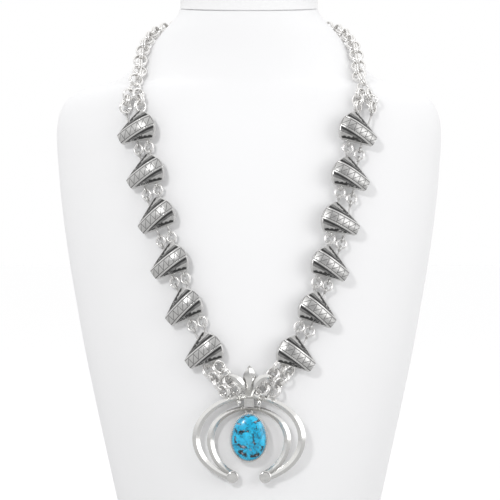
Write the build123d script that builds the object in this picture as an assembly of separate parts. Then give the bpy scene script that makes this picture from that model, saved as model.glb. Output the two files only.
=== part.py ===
from build123d import *
import math
import os

# Squash blossom necklace lying on its plain display neck bust, in millimetres.
# +Z is up, the front faces -Y, +X is to the right of someone who looks at the front.
# The origin is the middle of the bust's base, on the surface that it stands on.
# A place on the bust is a bearing round it (0 in front, 90 at the right side, 180 behind) and a height.

# Neck bust
BUST_STATIONS = (
    # height, half width, depth in front of the middle, depth behind it
    (0.0, 77.0, 71.0, 50.0),
    (40.0, 85.6, 74.5, 52.0),
    (84.0, 95.3, 75.5, 53.0),
    (115.0, 102.0, 74.5, 53.0),
    (136.0, 106.3, 73.0, 52.5),
    (168.0, 112.1, 70.0, 52.0),
    (201.0, 117.6, 66.5, 51.0),
    (229.0, 121.3, 62.5, 50.0),
    (255.0, 123.7, 58.0, 49.0),
    (275.0, 124.8, 54.0, 48.0),
    (288.0, 123.4, 51.0, 47.5),
    (299.5, 117.0, 48.5, 47.0),
    (306.0, 105.2, 47.0, 46.5),
    (310.0, 88.3, 46.3, 46.2),
    (319.5, 74.8, 45.0, 45.5),
    (332.0, 64.0, 43.8, 44.8),
    (344.0, 54.7, 43.0, 44.2),
    (351.0, 48.2, 42.4, 43.8),
    (357.0, 45.0, 42.0, 43.5),
    (377.0, 46.8, 42.6, 44.0),
)
HALF_WIDTH, FRONT_DEPTH, BACK_DEPTH = 1, 2, 3
SECTION_STEP = 12.0
CAP_SEAM_HEIGHT = 358.0
CAP_TILT = 7.5
CAP_THICKNESS = 11.0
SEAM_WIDTH = 0.7
SEAM_DEPTH = 1.0
CUTTER_SIZE = 520.0

# Chain of plain round rings
WIRE = 1.35
RING_RADIUS = 2.65
RING_PITCH = (3.36, 3.86)
RING_LEAN = 24.0
CHAIN_HEIGHT = 3.6
ROUTE_STEP = 2.5
FORK_RADIUS = 3.6
HOOK_REACH = 1.05
EYE_WIRE = 1.2
EYE_RADIUS = 1.75
EYE_REACH = 2.9
GAP_RING_RADIUS = 3.0
GAP_RING_WIRE = 1.4
GAP_EYE_REACH = 3.1

# The ring in each strand where the single neck chain forks into two
FORK_PLACE = (38.8, 302.0)

# The single chain that goes up from each fork, over the shoulder and round the back of the neck
NECK_ROUTE = (
    # bearing, height
    (45.0, 307.6),
    (53.5, 312.0),
    (61.0, 317.5),
    (69.0, 324.0),
    (79.0, 331.0),
    (91.0, 337.0),
    (107.0, 342.5),
    (128.0, 346.5),
    (153.0, 348.5),
    (165.0, 348.9),
)

# The two strands that go down from each fork to the first blossom
FORK_STRANDS = {
    # strand: bearings and heights from below the fork to the eye
    "inner": ((34.3, 295.6), (33.5, 291.2), (33.2, 287.2)),
    "outer": ((39.3, 296.6), (38.9, 291.6), (38.2, 286.8)),
}

# The two strands that go down from the last blossom to the naja's eyes
NAJA_STRANDS = {
    # strand: bearings and heights from the blossom's eye to just above the naja's eye
    "inner": ((11.3, 130.5), (9.2, 127.0), (7.2, 121.5), (5.2, 115.8)),
    "outer": ((14.4, 128.4), (12.6, 124.6), (10.4, 120.2), (9.0, 115.6)),
}

# Stamped blossoms: a narrow blunt end, a wide bowed end, and a dome between them
BLOSSOM_SECTIONS = (
    # place along the blossom, half width, height of the dome
    (-12.6, 3.5, 2.6),
    (-7.0, 5.7, 4.6),
    (-1.0, 8.1, 5.8),
    (5.0, 10.2, 6.1),
    (9.0, 11.2, 5.3),
    (13.4, 11.6, 3.2),
)
BLOSSOM_NARROW = (-12.2, 3.2)
BLOSSOM_WIDE = (7.5, 10.5)
BLOSSOM_WIDE_END = 12.9
BLOSSOM_CORNER = 2.4
BLOSSOM_WALL = 0.8
BLOSSOM_RIM = 1.0
VENT_RADIUS = 1.5
RELIEF = 0.28
BORDER_OFFSETS = (2.75, 3.6)
BORDER_WIDTHS = (0.28, 0.5)
ZIGZAG_PEAKS = 13
ZIGZAG_REACH = 2.1
ZIGZAG_WIDTH = 0.34
BLOSSOM_HEIGHT = 5.6
EYE_TAIL = 3.5
GAP_LEAN = 14.0

BLOSSOMS = (
    # name, bearing, height, tilt of its band
    ("left_blossom_1", -33.7, 275.2, 29.6),
    ("left_blossom_2", -31.0, 247.8, 33.9),
    ("left_blossom_3", -28.0, 220.4, 39.7),
    ("left_blossom_4", -24.5, 192.1, 36.5),
    ("left_blossom_5", -20.8, 164.3, 43.5),
    ("left_blossom_6", -14.8, 137.2, 38.3),
    ("right_blossom_1", 32.5, 274.3, 32.1),
    ("right_blossom_2", 30.4, 246.2, 31.0),
    ("right_blossom_3", 27.6, 217.9, 26.5),
    ("right_blossom_4", 25.1, 190.5, 34.3),
    ("right_blossom_5", 21.8, 162.1, 38.2),
    ("right_blossom_6", 15.5, 135.1, 35.8),
)

# Rings that join each blossom to the next, one in each strand
GAP_RINGS = (
    # side, number of the blossom above, bearing and height of the inner ring, and of the outer ring
    ("left", 1, -29.9, 265.1, -33.4, 263.6),
    ("left", 2, -27.3, 238.1, -31.2, 235.3),
    ("left", 3, -23.6, 208.7, -27.2, 206.1),
    ("left", 4, -19.8, 183.2, -23.4, 180.7),
    ("left", 5, -15.0, 156.4, -18.4, 153.8),
    ("right", 1, 29.5, 264.4, 33.4, 260.4),
    ("right", 2, 27.3, 236.5, 31.3, 232.6),
    ("right", 3, 24.7, 207.6, 28.6, 204.4),
    ("right", 4, 21.2, 180.4, 24.8, 178.3),
    ("right", 5, 16.2, 153.0, 19.6, 150.1),
)

# Naja: two nested ridged crescents, sizes in its own plane from the middle of the outer one
NAJA_HEIGHT = 84.8
NAJA_STAND_OFF = 3.0
OUTER_CRESCENT = {"half_width": 32.6, "rise": 25.5, "fall": 25.5, "middle": 0.0, "end_x": 10.1}
OUTER_WIDTHS = (3.4, 4.7, 4.0)
INNER_CRESCENT = {"half_width": 23.7, "rise": 19.6, "fall": 23.0, "middle": -0.9, "end_x": 10.6}
INNER_WIDTHS = (2.8, 4.4, 3.6)
CRESCENT_STATIONS = 19
RIDGE_HEIGHT = 2.3
RIDGE_EDGE = 0.8
TERMINAL_PLACE = (10.1, -23.8)
TERMINAL_RADIUS = 3.85
TERMINAL_HEIGHT = 2.6
TERMINAL_ROUND = 1.1
POST_SIZE = (6.0, 6.4, 1.5)
POST_MIDDLE = 22.2
BEAD_RADIUS = 1.6
BEAD_PLACE = (6.3, 22.2)
NAJA_EYES = (
    # distance from the middle, height in the naja's plane
    (5.9, 28.2),
    (13.6, 26.2),
)
PETALS = {
    # petal: points up its middle, and its widths at the base, the widest place and the tip
    "middle": (((0.2, 26.0, 0.2), (0.2, 32.0, 1.0), (0.3, 38.5, 1.4), (0.3, 45.0, 1.2)), (2.6, 7.8, 0.4)),
    "left": (((-0.8, 26.4, 0.2), (-3.6, 32.6, 3.0), (-7.6, 37.0, 4.6), (-13.4, 39.4, 4.8)), (2.0, 4.2, 0.4)),
    "right": (((1.2, 26.4, 0.2), (3.8, 33.0, 3.0), (8.4, 37.6, 4.6), (14.6, 36.2, 4.8)), (2.0, 4.0, 0.4)),
}
PETAL_WIDEST = 0.62
PETAL_STATIONS = 9
PETAL_THICKNESS = 1.9

# Turquoise drop that hangs inside the inner crescent
DROP_MIDDLE = -0.9
CUP_HALF_WIDTH = 11.6
CUP_RISE = 17.0
CUP_FALL = 13.6
CUP_WALL = 0.7
CUP_FLOOR = 1.0
CUP_DEPTH = 3.7
STONE_GAP = 0.1
STONE_GIRDLE = 3.2
STONE_DOME = 4.2
DOME_LEVELS = 8
DOME_TOP_ANGLE = 87.0
DROP_WIRE = 0.9
DROP_EYE_RADIUS = 1.3
DROP_RING_RADIUS = 1.9
DROP_EYE_DEPTH = 0.8
NAJA_DROP_EYE = 18.3

# Clasp behind the neck: one plain bar with an eye at each end
CLASP_HEIGHT = 349.0
CLASP_LENGTH = 14.0
CLASP_WIDTH = 5.0
CLASP_THICKNESS = 1.8
CLASP_EYE = 7.9


def slopes(column):
    """Slopes of a bust size at its stations, which keep the line between them free of bumps."""
    heights = [row[0] for row in BUST_STATIONS]
    sizes = [row[column] for row in BUST_STATIONS]
    steps = [(sizes[i + 1] - sizes[i]) / (heights[i + 1] - heights[i]) for i in range(len(sizes) - 1)]
    inner = [
        2 * before * after / (before + after) if before * after > 0 else 0.0
        for before, after in zip(steps, steps[1:])
    ]
    return [steps[0], *inner, steps[-1]]


BUST_SLOPES = {column: slopes(column) for column in (HALF_WIDTH, FRONT_DEPTH, BACK_DEPTH)}


def bust_size(height, column):
    """Half width or depth of the bust at a height."""
    last = len(BUST_STATIONS) - 2
    index = min(last, max([i for i, row in enumerate(BUST_STATIONS) if row[0] <= height], default=0))
    low, high = BUST_STATIONS[index], BUST_STATIONS[index + 1]
    span = high[0] - low[0]
    t = (height - low[0]) / span
    slope = BUST_SLOPES[column]
    return (
        low[column] * (1 + 2 * t) * (1 - t) ** 2
        + span * slope[index] * t * (1 - t) ** 2
        + high[column] * t * t * (3 - 2 * t)
        + span * slope[index + 1] * t * t * (t - 1)
    )


def skin(bearing, height):
    """Point on the bust's surface."""
    angle = math.radians(bearing)
    depth = FRONT_DEPTH if math.cos(angle) >= 0 else BACK_DEPTH
    return Vector(
        bust_size(height, HALF_WIDTH) * math.sin(angle),
        -bust_size(height, depth) * math.cos(angle),
        height,
    )


def skin_normal(bearing, height):
    """Outward direction of the bust's surface."""
    step = 2.5
    across = skin(bearing + step, height) - skin(bearing - step, height)
    up = skin(bearing, height + step) - skin(bearing, height - step)
    return across.cross(up).normalized()


def over_skin(bearing, height, distance):
    """Point at a distance outside the bust's surface."""
    return skin(bearing, height) + skin_normal(bearing, height) * distance


def normal_near(point):
    """Outward direction of the bust's surface beside a point."""
    depth = FRONT_DEPTH if point.Y <= 0 else BACK_DEPTH
    side = point.X / bust_size(point.Z, HALF_WIDTH)
    front = -point.Y / bust_size(point.Z, depth)
    return skin_normal(math.degrees(math.atan2(side, front)), point.Z)


def make_bust():
    """Closed solid of the neck bust, with the seam of its slanted cap cut round the neck."""
    levels = [0.0]
    for low, high in zip(BUST_STATIONS, BUST_STATIONS[1:]):
        parts = max(1, round((high[0] - low[0]) / SECTION_STEP))
        levels += [low[0] + (high[0] - low[0]) * k / parts for k in range(1, parts + 1)]
    sections = []
    for level in levels:
        half = bust_size(level, HALF_WIDTH)
        front = EllipticalCenterArc((0, 0), half, bust_size(level, FRONT_DEPTH), 180, arc_size=180)
        back = EllipticalCenterArc((0, 0), half, bust_size(level, BACK_DEPTH), 0, arc_size=180)
        sections.append(Pos(0, 0, level) * make_face(front + back))
    body = loft(sections)
    cap_plane = Plane((0, 0, CAP_SEAM_HEIGHT)).rotated((CAP_TILT, 0, 0))
    upward = (Align.CENTER, Align.CENTER, Align.MIN)
    body -= cap_plane.offset(CAP_THICKNESS) * Box(CUTTER_SIZE, CUTTER_SIZE, CUTTER_SIZE, align=upward)
    front = bust_size(CAP_SEAM_HEIGHT, FRONT_DEPTH)
    back = bust_size(CAP_SEAM_HEIGHT, BACK_DEPTH)
    core_half = bust_size(CAP_SEAM_HEIGHT, HALF_WIDTH) - SEAM_DEPTH
    core = extrude(Ellipse(core_half, (front + back) / 2 - SEAM_DEPTH), CAP_SEAM_HEIGHT, both=True)
    slab = cap_plane * Box(CUTTER_SIZE, CUTTER_SIZE, SEAM_WIDTH)
    return body - (slab - Pos(0, (back - front) / 2, CAP_SEAM_HEIGHT) * core)


def ring_plane(point, along, lean):
    """Plane of a ring that holds the chain's direction; a lean of 0 lies flat and 90 stands up."""
    outward = normal_near(point)
    outward = (outward - along * outward.dot(along)).normalized()
    across = along.cross(outward)
    angle = math.radians(lean)
    return Plane(point, x_dir=along, z_dir=outward * math.cos(angle) + across * math.sin(angle))


def ring(plane, radius, wire):
    """Round ring of wire in a plane."""
    return plane * Torus(radius, wire / 2)


def moved(plane, x, y, z):
    """A plane moved along its own directions."""
    return Plane(plane.from_local_coords(Vector(x, y, z)), x_dir=plane.x_dir, z_dir=plane.z_dir)


def hook_point(plane, radius, target):
    """Point on a ring's wire on the side of a target."""
    local = plane.to_local_coords(target)
    return plane.from_local_coords(Vector(local.X, local.Y).normalized() * radius)


def skin_route(sign, rows):
    """Closely spaced points over the bust at the chain's height; the sign is -1 for the left side."""
    line = Spline(*rows)
    count = round(line.length / ROUTE_STEP)
    places = [line.position_at(index / count) for index in range(count + 1)]
    return [over_skin(sign * place.X, place.Y, CHAIN_HEIGHT) for place in places]


def rod(start, end, wire):
    """Straight round wire between two points."""
    run = end - start
    return Plane(start, z_dir=run) * Cylinder(
        wire / 2, run.length, align=(Align.CENTER, Align.CENTER, Align.MIN)
    )


def chain_run(name, sign, points, reaches, uprights):
    """Rings along a smooth route between two things that hold the chain, turned in alternate ways.

    The reaches are from each end of the route to the middle of the nearest ring, and the uprights say
    whether those rings stand up. The sign is -1 for the left side, which mirrors the right one.
    """
    start_reach, end_reach = reaches
    start_upright, end_upright = uprights
    route = Spline(*points)
    total = route.length - start_reach - end_reach
    middle_pitch = sum(RING_PITCH) / 2
    count = round(total / middle_pitch) + 1
    if (count % 2 == 1) != (start_upright == end_upright):
        count += 1 if total / count >= RING_PITCH[0] else -1
    pitch = total / (count - 1)
    if not RING_PITCH[0] <= pitch <= RING_PITCH[1]:
        raise ValueError(f"{name}: {count} rings need a pitch of {pitch:.2f} mm")
    print(f"{name}: {count} rings, pitch {pitch:.2f} mm, route {route.length:.1f} mm")
    rings = []
    for index in range(count):
        along_route = start_reach + index * pitch
        point = route.position_at(along_route, position_mode=PositionMode.LENGTH)
        along = route.tangent_at(along_route, position_mode=PositionMode.LENGTH)
        upright = start_upright == (index % 2 == 0)
        lean = sign * (RING_LEAN + (90 if upright else 0))
        rings.append(ring(ring_plane(point, along, lean), RING_RADIUS, WIRE))
    return Compound(children=rings)


def blossom_skin(raised=0.0, inset=0.0, floor=0.0):
    """Dome of a blossom, lofted across its length, raised for its relief or shrunk for its hollow."""
    sections = []
    for place, half, height in BLOSSOM_SECTIONS:
        half += raised - inset
        height += raised - inset
        rim = BLOSSOM_RIM + raised
        outline = Polyline((-half, rim), (-half, floor), (half, floor), (half, rim))
        arc = ThreePointArc((half, rim), (0, height), (-half, rim))
        plane = Plane((place, 0, 0), x_dir=(0, 1, 0), z_dir=(1, 0, 0))
        sections.append(plane * make_face(outline + arc))
    return loft(sections)


def blossom_outline():
    """Flat outline of a blossom, with the band's line along X and the wide end at +X."""
    narrow_x, narrow_half = BLOSSOM_NARROW
    wide_x, wide_half = BLOSSOM_WIDE
    corners = ((wide_x, -wide_half), (narrow_x, -narrow_half), (narrow_x, narrow_half), (wide_x, wide_half))
    bow = ThreePointArc((wide_x, wide_half), (BLOSSOM_WIDE_END, 0), (wide_x, -wide_half))
    face = make_face(Polyline(*corners) + bow)
    wide_corners = [corner for corner in face.vertices() if corner.X > 0]
    return fillet(wide_corners, BLOSSOM_CORNER)


def blossom_relief():
    """Flat outline of the raised band: a border along each side and a zigzag between them."""
    lines = [
        Pos(0, side * place) * Rectangle(2 * BLOSSOM_WIDE_END + 4, width)
        for side in (-1, 1)
        for place, width in zip(BORDER_OFFSETS, BORDER_WIDTHS)
    ]
    start = BLOSSOM_NARROW[0]
    step = (BLOSSOM_WIDE_END - start) / ZIGZAG_PEAKS
    peaks = [
        (start + step * (index + 0.5), ZIGZAG_REACH * (1 if index % 2 else -1))
        for index in range(ZIGZAG_PEAKS)
    ]
    return Sketch() + lines + trace(Polyline(*peaks), ZIGZAG_WIDTH)


def make_blossom():
    """One stamped blossom in its own plane: hollow dome, flat back with a vent, and raised band."""
    room = 2 * BLOSSOM_HEIGHT
    outline = blossom_outline()
    solid = blossom_skin() & extrude(outline, room)
    hollow = blossom_skin(inset=BLOSSOM_WALL, floor=BLOSSOM_WALL)
    solid -= hollow & extrude(offset(outline, -BLOSSOM_WALL), room)
    solid -= Cylinder(VENT_RADIUS, 3 * BLOSSOM_WALL)
    relief = extrude(blossom_relief(), room) & blossom_skin(raised=RELIEF, floor=BLOSSOM_WALL / 2)
    relief &= extrude(outline, room)
    relief -= hollow
    return solid + relief


def blossom_plane(bearing, height, tilt):
    """Where a blossom sits over the bust: its middle, the way of its band and its outward direction."""
    outward = skin_normal(bearing, height)
    level = Vector(0, 0, 1).cross(outward).normalized()
    up = outward.cross(level)
    inward = level * (1 if bearing < 0 else -1)
    angle = math.radians(tilt)
    band = inward * math.cos(angle) + up * math.sin(angle)
    return Plane(over_skin(bearing, height, BLOSSOM_HEIGHT), x_dir=band, z_dir=outward)


def blossom_reach(place):
    """Half width of a blossom's outline at a place along it."""
    slope = (BLOSSOM_WIDE[1] - BLOSSOM_NARROW[1]) / (BLOSSOM_WIDE[0] - BLOSSOM_NARROW[0])
    return BLOSSOM_NARROW[1] + slope * (min(place, BLOSSOM_WIDE[0]) - BLOSSOM_NARROW[0])


def eye_pin(middle, away, plane):
    """Upright eye with a tail that is soldered into a blossom's back."""
    eye = ring(ring_plane(middle, away, 90), EYE_RADIUS, EYE_WIRE)
    tail_start = middle + away * EYE_RADIUS
    aim = plane.to_local_coords(tail_start + away * EYE_TAIL)
    margin = BLOSSOM_WALL + EYE_WIRE
    place = min(max(aim.X, BLOSSOM_NARROW[0] + margin), BLOSSOM_WIDE[0])
    half = blossom_reach(place) - margin
    target = plane.from_local_coords(Vector(place, min(max(aim.Y, -half), half), BLOSSOM_WALL / 2))
    return [eye, rod(tail_start, target, EYE_WIRE)]


def ridged_bar(stations, height):
    """Bar with a ridge along its top, through stations of point, direction and width."""
    sections = []
    for point, along, width in stations:
        edge = RIDGE_EDGE * height / RIDGE_HEIGHT
        roof = Polygon(
            (-width / 2, 0), (width / 2, 0), (width / 2, edge), (0, height), (-width / 2, edge), align=None
        )
        across = Vector(0, 0, 1).cross(along)
        sections.append(Plane(point, x_dir=across, z_dir=along) * roof)
    return loft(sections)


def crescent(sizes, widths):
    """Ridged crescent, open at the bottom; widths are at its top, sides and ends."""
    top_width, side_width, end_width = widths
    end_angle = math.pi - math.asin(sizes["end_x"] / sizes["half_width"])
    stations = []
    for index in range(CRESCENT_STATIONS):
        angle = end_angle * (2 * index / (CRESCENT_STATIONS - 1) - 1)
        rise = sizes["rise"] if math.cos(angle) >= 0 else sizes["fall"]
        point = Vector(sizes["half_width"] * math.sin(angle), sizes["middle"] + rise * math.cos(angle))
        along = Vector(sizes["half_width"] * math.cos(angle), -rise * math.sin(angle)).normalized()
        far = top_width if math.cos(angle) >= 0 else end_width
        width = far + (side_width - far) * math.sin(abs(angle)) ** 2
        stations.append((point, along, width))
    return ridged_bar(stations, RIDGE_HEIGHT)


def petal(points, widths):
    """Ridged leaf along a curved line, narrow at its base and pointed at its tip."""
    base, widest, tip = widths
    line = Spline(*points)
    stations = []
    for index in range(PETAL_STATIONS):
        t = index / (PETAL_STATIONS - 1)
        if t < PETAL_WIDEST:
            width = base + (widest - base) * math.sin(t / PETAL_WIDEST * math.pi / 2) ** 2
        else:
            width = tip + (widest - tip) * math.cos((t - PETAL_WIDEST) / (1 - PETAL_WIDEST) * math.pi / 2)
        stations.append((line.position_at(t), line.tangent_at(t), width))
    return ridged_bar(stations, PETAL_THICKNESS)


def upright_eye(height, radius, wire):
    """Eye behind the naja or the drop, whose hole runs from side to side."""
    plane = Plane((0, height, -DROP_EYE_DEPTH), x_dir=(0, 1, 0), z_dir=(1, 0, 0))
    return plane * Torus(radius, wire / 2)


def make_naja():
    """Both crescents with their terminals, post, beads, petals and eyes, soldered into one solid."""
    solid = crescent(OUTER_CRESCENT, OUTER_WIDTHS) + crescent(INNER_CRESCENT, INNER_WIDTHS)
    solid += Pos(0, POST_MIDDLE, POST_SIZE[2] / 2) * Box(*POST_SIZE)
    button = Cylinder(TERMINAL_RADIUS, TERMINAL_HEIGHT, align=(Align.CENTER, Align.CENTER, Align.MIN))
    button = fillet(button.edges().sort_by(Axis.Z)[-1], TERMINAL_ROUND)
    for side in (-1, 1):
        solid += Pos(side * TERMINAL_PLACE[0], TERMINAL_PLACE[1], 0) * button
        solid += Pos(side * BEAD_PLACE[0], BEAD_PLACE[1], BEAD_RADIUS) * Sphere(BEAD_RADIUS)
        for distance, height in NAJA_EYES:
            solid += Pos(side * distance, height, EYE_WIRE / 2) * Torus(EYE_RADIUS, EYE_WIRE / 2)
    for points, widths in PETALS.values():
        solid += petal(points, widths)
    return solid + upright_eye(NAJA_DROP_EYE, DROP_EYE_RADIUS, DROP_WIRE)


def egg(inset, share=1.0):
    """Egg-shaped outline of the drop, shrunk by an inset and then to a share of its size."""
    half = share * (CUP_HALF_WIDTH - inset)
    top = EllipticalCenterArc((0, 0), half, share * (CUP_RISE - inset), 0, arc_size=180)
    bottom = EllipticalCenterArc((0, 0), half, share * (CUP_FALL - inset), 180, arc_size=180)
    return Pos(0, DROP_MIDDLE) * make_face(top + bottom)


def drop_heights():
    """Heights, in the naja's plane, of the drop's ring and of its eye, as they hang from the naja's eye."""
    play = DROP_EYE_RADIUS - DROP_WIRE - STONE_GAP
    ring_middle = NAJA_DROP_EYE - play - DROP_RING_RADIUS
    return ring_middle, ring_middle - DROP_RING_RADIUS - play


def make_cup():
    """Bezel cup of the drop, with its eye behind."""
    cup = extrude(egg(0), CUP_DEPTH) - Pos(0, 0, CUP_FLOOR) * extrude(egg(CUP_WALL), CUP_DEPTH)
    return cup + upright_eye(drop_heights()[1], DROP_EYE_RADIUS, DROP_WIRE)


def make_stone():
    """Cabochon: a straight girdle inside the cup and a low dome over it."""
    inset = CUP_WALL + STONE_GAP
    bottom = CUP_FLOOR + STONE_GAP
    girdle = Pos(0, 0, bottom) * extrude(egg(inset), STONE_GIRDLE - bottom)
    levels = []
    for index in range(DOME_LEVELS):
        angle = math.radians(DOME_TOP_ANGLE) * index / (DOME_LEVELS - 1)
        level = Pos(0, 0, STONE_GIRDLE + STONE_DOME * math.sin(angle))
        levels.append(level * egg(inset, math.cos(angle)))
    return girdle + loft(levels)


def clasp_plane():
    """Plane of the clasp behind the neck, with X along the chain towards the right side."""
    middle = over_skin(180, CLASP_HEIGHT, CHAIN_HEIGHT)
    return Plane(middle, x_dir=(1, 0, 0), z_dir=skin_normal(180, CLASP_HEIGHT))


def make_clasp():
    """Plain clasp bar with an eye at each end."""
    bar = extrude(SlotOverall(CLASP_LENGTH, CLASP_WIDTH), CLASP_THICKNESS / 2, both=True)
    for side in (-1, 1):
        bar += Pos(side * CLASP_EYE, 0, 0) * Torus(EYE_RADIUS, EYE_WIRE / 2)
    return clasp_plane().location * bar


def naja_plane():
    """Plane of the naja's back, in front of the chest."""
    middle = over_skin(0, NAJA_HEIGHT, NAJA_STAND_OFF)
    return Plane(middle, x_dir=(1, 0, 0), z_dir=skin_normal(0, NAJA_HEIGHT))


def write(name, shape):
    """Write one piece to its own file."""
    export_step(shape, f"parts/{name}.step")


def write_naja():
    """Write the naja and the drop that hangs in it."""
    place = naja_plane().location
    write("naja", place * make_naja())
    write("drop_cup", place * make_cup())
    write("turquoise", place * make_stone())
    drop_ring = Pos(0, drop_heights()[0], -DROP_EYE_DEPTH) * Torus(DROP_RING_RADIUS, DROP_WIRE / 2)
    write("drop_ring", place * drop_ring)


def write_upper_chains(side, sign, plane):
    """Write one side's neck chain, fork ring and upper strands; return the first blossom's eyes."""
    routes = {strand: skin_route(sign, rows) for strand, rows in FORK_STRANDS.items()}
    neck = skin_route(sign, NECK_ROUTE)
    fork = over_skin(sign * FORK_PLACE[0], FORK_PLACE[1], CHAIN_HEIGHT)
    below = (routes["inner"][0] + routes["outer"][0]) / 2
    fork_plane = ring_plane(fork, (below - neck[0]).normalized(), 0)
    write(f"{side}_fork_ring", ring(fork_plane, FORK_RADIUS, GAP_RING_WIRE))

    neck.insert(0, hook_point(fork_plane, FORK_RADIUS, neck[0]))
    neck.append(hook_point(moved(clasp_plane(), sign * CLASP_EYE, 0, 0), EYE_RADIUS, neck[-1]))
    name = f"{side}_neck_chain"
    write(name, chain_run(name, sign, neck, (HOOK_REACH, HOOK_REACH), (True, True)))

    eyes = []
    for strand, route in routes.items():
        away = (route[-1] - route[-2]).normalized()
        route.insert(0, hook_point(fork_plane, FORK_RADIUS, route[0]))
        name = f"{side}_{strand}_top_chain"
        write(name, chain_run(name, sign, route, (HOOK_REACH, EYE_REACH), (True, False)))
        eyes += eye_pin(route[-1], away, plane)
    return eyes


def write_gap_rings(side, planes):
    """Write one side's rings between neighbouring blossoms; return the eyes that hold them, by blossom."""
    rows = [row for row in GAP_RINGS if row[0] == side]
    eyes = {name: [] for name in planes}
    for strand, column in (("inner", 2), ("outer", 4)):
        middles = [over_skin(row[column], row[column + 1], CHAIN_HEIGHT) for row in rows]
        for index, middle in enumerate(middles):
            before = middles[max(index - 1, 0)]
            after = middles[min(index + 1, len(middles) - 1)]
            along = (after - before).normalized()
            plane = ring_plane(middle, along, GAP_LEAN)
            write(f"{side}_{strand}_ring_{index + 1}", ring(plane, GAP_RING_RADIUS, GAP_RING_WIRE))
            for number, away in ((index + 1, -along), (index + 2, along)):
                owner = f"{side}_blossom_{number}"
                eyes[owner] += eye_pin(middle + away * GAP_EYE_REACH, away, planes[owner])
    return eyes


def write_naja_chains(side, sign, plane):
    """Write one side's strands from the last blossom to the naja; return the blossom's eyes."""
    eyes = []
    for (strand, rows), (distance, height) in zip(NAJA_STRANDS.items(), NAJA_EYES):
        route = skin_route(sign, rows)
        away = (route[0] - route[1]).normalized()
        eye_plane = moved(naja_plane(), sign * distance, height, EYE_WIRE / 2)
        route.append(hook_point(eye_plane, EYE_RADIUS, route[-1]))
        name = f"{side}_{strand}_naja_chain"
        write(name, chain_run(name, sign, route, (EYE_REACH, HOOK_REACH), (False, True)))
        eyes += eye_pin(route[0], away, plane)
    return eyes


def main():
    os.makedirs("parts", exist_ok=True)
    write("neck_bust", make_bust())
    write("clasp", make_clasp())
    write_naja()
    blossom = make_blossom()
    for side, sign in (("left", -1), ("right", 1)):
        planes = {row[0]: blossom_plane(*row[1:]) for row in BLOSSOMS if row[0].startswith(side)}
        eyes = write_gap_rings(side, planes)
        first, last = f"{side}_blossom_1", f"{side}_blossom_6"
        eyes[first] += write_upper_chains(side, sign, planes[first])
        eyes[last] += write_naja_chains(side, sign, planes[last])
        for name, plane in planes.items():
            write(name, plane.location * blossom + eyes[name])


if __name__ == "__main__":
    main()
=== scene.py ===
"""Looks of a squash blossom necklace that lies on its plain white neck bust.

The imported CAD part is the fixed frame. The blossoms are stamped again in fine relief over their CAD shapes, the
chains are laid again with heavier doubled rings, the drop's cup gets its sawtooth bezel, and every other piece
keeps its CAD shape and gets its finish. Sizes are in millimetres in each piece's own plane, and in metres once
they are placed.
"""
from __future__ import annotations

import logging
import math
from dataclasses import dataclass
from enum import Enum

import bpy
import numpy as np
from mathutils import Matrix, Vector
from mathutils.bvhtree import BVHTree

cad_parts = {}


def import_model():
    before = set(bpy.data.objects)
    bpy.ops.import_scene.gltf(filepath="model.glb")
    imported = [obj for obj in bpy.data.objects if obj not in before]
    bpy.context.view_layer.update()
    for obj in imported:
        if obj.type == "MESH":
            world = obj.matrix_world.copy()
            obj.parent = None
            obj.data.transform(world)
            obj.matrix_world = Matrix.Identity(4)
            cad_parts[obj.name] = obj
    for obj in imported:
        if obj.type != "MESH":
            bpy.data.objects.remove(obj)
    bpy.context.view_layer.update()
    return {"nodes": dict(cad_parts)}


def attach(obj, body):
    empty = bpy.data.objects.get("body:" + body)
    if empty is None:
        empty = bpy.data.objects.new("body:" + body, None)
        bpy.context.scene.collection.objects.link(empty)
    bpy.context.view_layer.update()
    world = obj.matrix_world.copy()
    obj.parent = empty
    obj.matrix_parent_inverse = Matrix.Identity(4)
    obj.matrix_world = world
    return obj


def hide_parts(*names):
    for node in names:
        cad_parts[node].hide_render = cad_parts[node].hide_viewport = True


logging.basicConfig(level=logging.INFO, format="%(message)s")
log = logging.getLogger("necklace")

MM = 0.001
SAME_FACING = 0.9998
SAME_PLANE = 0.06
SAME_POINT = 0.002
LATTICE = 96
LINE_SOFTNESS = 0.07
STAMP_ATTRIBUTE = "stamp"
TURN_ATTRIBUTE = "turn"
OUTWARD_ATTRIBUTE = "outward"

# Start x and y, end x and y, and half width, in millimetres in the plane of the naja.
MATRIX_STROKES = (
    (-4.8, 4.2, -0.6, 5.2, 1.15),
    (-2.2, 5.0, -1.2, 6.4, 0.9),
    (-8.2, 5.6, -7.0, 4.4, 0.8),
    (-8.6, 1.2, -8.0, -2.6, 0.75),
    (-6.0, -3.6, -2.0, -5.4, 0.95),
    (2.4, 2.4, 2.6, -2.2, 0.6),
    (2.2, -2.4, 4.2, -3.0, 0.8),
    (4.4, -3.2, 8.6, -5.0, 0.4),
    (2.6, 2.4, 4.6, 8.4, 0.3),
    (3.8, 9.6, 6.4, 11.4, 0.9),
    (-5.2, -8.0, -2.8, -9.6, 1.5),
    (1.8, -10.6, 6.0, -9.4, 1.25),
    (-6.8, 9.4, -5.0, 8.6, 0.6),
    (-4.0, 13.2, 0.4, 13.8, 0.6),
    (7.4, -6.8, 8.6, -4.4, 0.6),
    (-3.6, 4.0, -7.0, 2.8, 0.35),
)
SPECK_STROKES = (
    (-2.6, 4.2, -2.0, 5.4, 0.6),
    (-1.2, 4.6, -0.8, 5.4, 0.4),
    (-4.0, -4.2, -2.4, -5.4, 0.42),
    (-8.2, 0.4, -8.2, -1.4, 0.34),
    (2.6, -1.6, 2.4, -2.6, 0.36),
    (4.6, 10.4, 5.4, 11.0, 0.5),
    (-6.4, 9.2, -5.8, 8.8, 0.45),
    (-4.2, -8.4, -3.8, -9.0, 0.4),
    (0.9, -6.6, 1.3, -6.9, 0.5),
    (4.4, -10.0, 5.0, -9.8, 0.34),
)

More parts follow.
